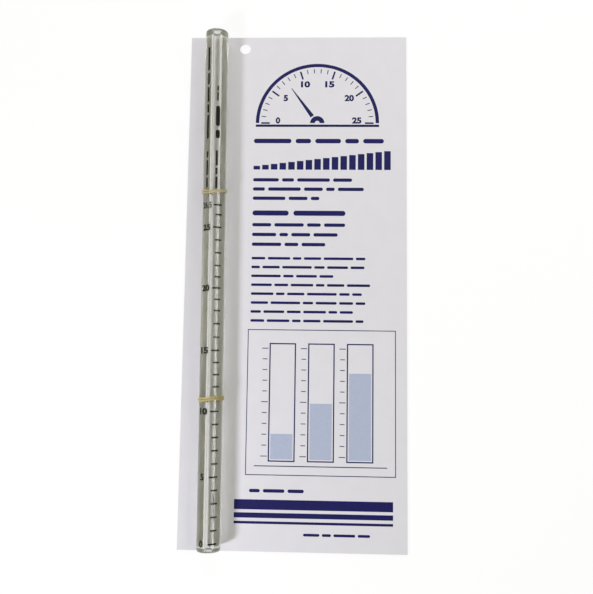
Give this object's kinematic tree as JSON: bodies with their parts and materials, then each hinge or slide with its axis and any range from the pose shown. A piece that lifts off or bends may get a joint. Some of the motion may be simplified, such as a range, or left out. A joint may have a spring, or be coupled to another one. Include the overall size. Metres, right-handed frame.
{
  "type": "dip tube fuel gauge",
  "caption": "Clear plastic dip tube with a printed gallon scale, held by rubber bands on a flat instruction card with a punched hang hole.",
  "frame": {"origin": "middle of the footprint, on the surface that the back strands of the bands lie on", "axes": "+Z out of the card's printed face, +Y towards the card's top edge with the hang hole, +X to the right seen from the front"},
  "size_m": [0.127, 0.2954, 0.0159],
  "materials": {
    "card": "matte",
    "acrylic": "polished",
    "ink": "satin",
    "rubber": "matte"
  },
  "bodies": {
    "card": {"instruction_card": "card", "upper_band": "rubber", "lower_band": "rubber"},
    "tube": {"gauge_tube": "acrylic", "scale_marks": "ink"}
  },
  "joints": [
    {"name": "tube_draw", "type": "slide", "parent": "card", "child": "tube", "axis": [-0.0084, 1, 0], "range_m": [-0.215, 0.202]}
  ]
}
